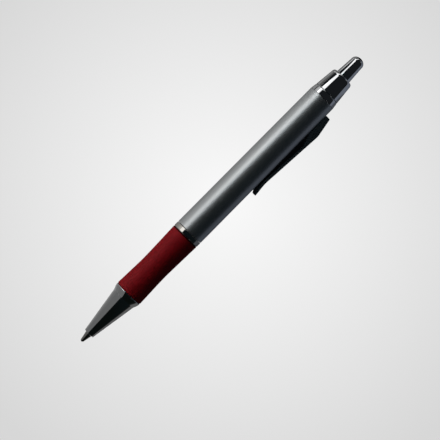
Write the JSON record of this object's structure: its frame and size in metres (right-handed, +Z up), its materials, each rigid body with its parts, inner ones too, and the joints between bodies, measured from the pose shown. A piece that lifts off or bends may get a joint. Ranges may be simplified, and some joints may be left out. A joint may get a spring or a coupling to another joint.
{
  "type": "pushbutton ballpoint pen",
  "caption": "Slim click ballpoint pen with a satin barrel, waisted soft grip, plated nose, cap and button, a side clip, and a spring-loaded refill moved by a rotary cam.",
  "frame": {"origin": "middle of the pen's length and width, on the table it lies on", "axes": "+X along the pen from writing tip to button, +Z up from the table, clip towards -Y and turned down to the table"},
  "size_m": [0.1408, 0.0142, 0.011],
  "materials": {
    "chrome_trim": "polished",
    "barrel_silver": "satin",
    "grip_rubber": "matte",
    "clip_black": "gloss",
    "grey_plastic": "satin",
    "white_plastic": "satin",
    "spring_steel": "satin",
    "point_metal": "polished",
    "refill_brass": "satin",
    "ink": "gloss"
  },
  "bodies": {
    "body": {"nose_cone": "chrome_trim", "grip_core": "grey_plastic", "grip_sleeve": "grip_rubber", "trim_ring": "chrome_trim", "barrel": "barrel_silver", "barrel_insert": "grey_plastic", "cam_sleeve": "white_plastic", "end_ring": "chrome_trim", "top_cap": "chrome_trim", "return_spring": "spring_steel"},
    "button": {"push_button": "chrome_trim", "plunger": "grey_plastic"},
    "refill": {"refill_point": "point_metal", "refill_neck": "white_plastic", "refill_tube": "refill_brass", "refill_plug": "grey_plastic", "ink_paste": "ink"},
    "cam": {"rotary_cam": "white_plastic"},
    "clip": {"clip": "clip_black"},
    "ball": {"writing_ball": "spring_steel"}
  },
  "joints": [
    {"name": "button_press", "type": "slide", "parent": "body", "child": "button", "axis": [1, 0, 0], "range_m": [-0.0012, 0.005]},
    {"name": "refill_slide", "type": "slide", "parent": "body", "child": "refill", "axis": [1, 0, 0], "range_m": [-0.0012, 0.005], "deforming": ["return_spring"]},
    {"name": "cam_turn", "type": "hinge", "parent": "refill", "child": "cam", "pos_m": [0.02768, 0.00156, 0.0055], "axis": [1, 0, 0], "range_deg": [0, 45]},
    {"name": "clip_flex", "type": "hinge", "parent": "body", "child": "clip", "pos_m": [0.04748, -0.00347, 0.00327], "axis": [0, -0.4066, 0.9136], "range_deg": [0, 3], "stiffness_Nm_per_rad": 3.2},
    {"name": "ball_roll", "type": "hinge", "parent": "refill", "child": "ball", "pos_m": [-0.06988, 0.00156, 0.0055], "axis": [0, 1, 0], "continuous": true}
  ],
  "couplings": [
    {"joint": "refill_slide", "follows": "button_press", "ratio": 1}
  ]
}
